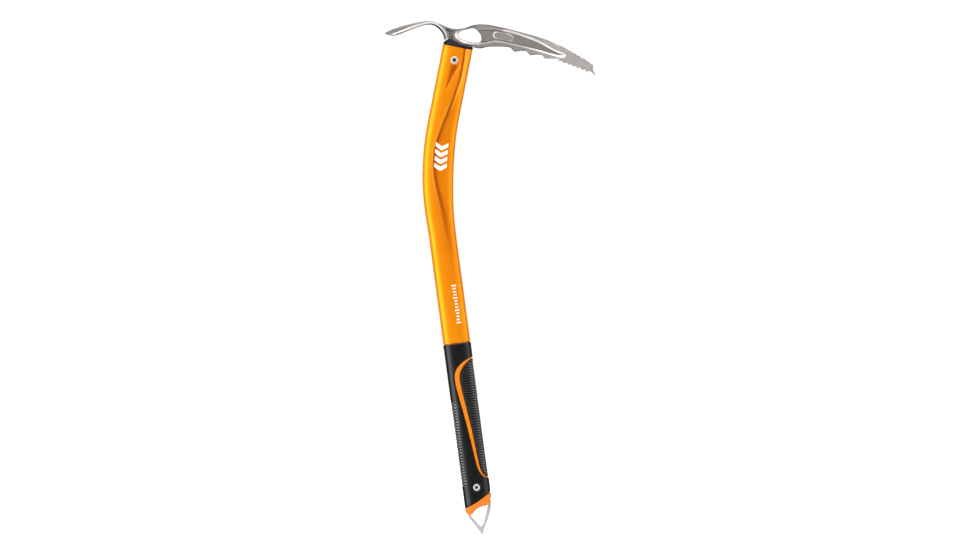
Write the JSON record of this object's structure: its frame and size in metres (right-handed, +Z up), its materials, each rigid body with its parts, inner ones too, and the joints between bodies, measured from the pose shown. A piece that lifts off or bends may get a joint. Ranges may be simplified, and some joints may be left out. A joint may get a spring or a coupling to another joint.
{
  "type": "ice axe",
  "caption": "Mountaineering ice axe: forged steel pick and adze on a bent aluminium tube shaft, with a moulded rubber grip and a steel spike.",
  "frame": {"origin": "the point of the spike, on the centre line of the straight grip", "axes": "+Z runs up the straight grip towards the head, +X points the way the pick does, and Y runs across the axe, through the adze's width"},
  "size_m": [0.2362, 0.052, 0.6012],
  "materials": {
    "forged_steel": "satin, shot-blasted and polished forging",
    "stainless_steel": "satin",
    "orange_anodised": "satin orange anodised",
    "black_rubber": "matt",
    "orange_rubber": "matt",
    "orange_plastic": "satin moulded",
    "black_plastic": "satin moulded",
    "rivet_steel": "bright"
  },
  "bodies": {
    "root": {"head": "forged_steel", "head_insert": "black_plastic", "head_rivet": "rivet_steel", "shaft": "orange_anodised", "grip_sleeve": "black_rubber", "grip_stripe": "orange_rubber", "grip_pad": "black_rubber", "end_plug": "orange_plastic", "spike": "stainless_steel", "spike_rivet": "rivet_steel"}
  },
  "joints": []
}
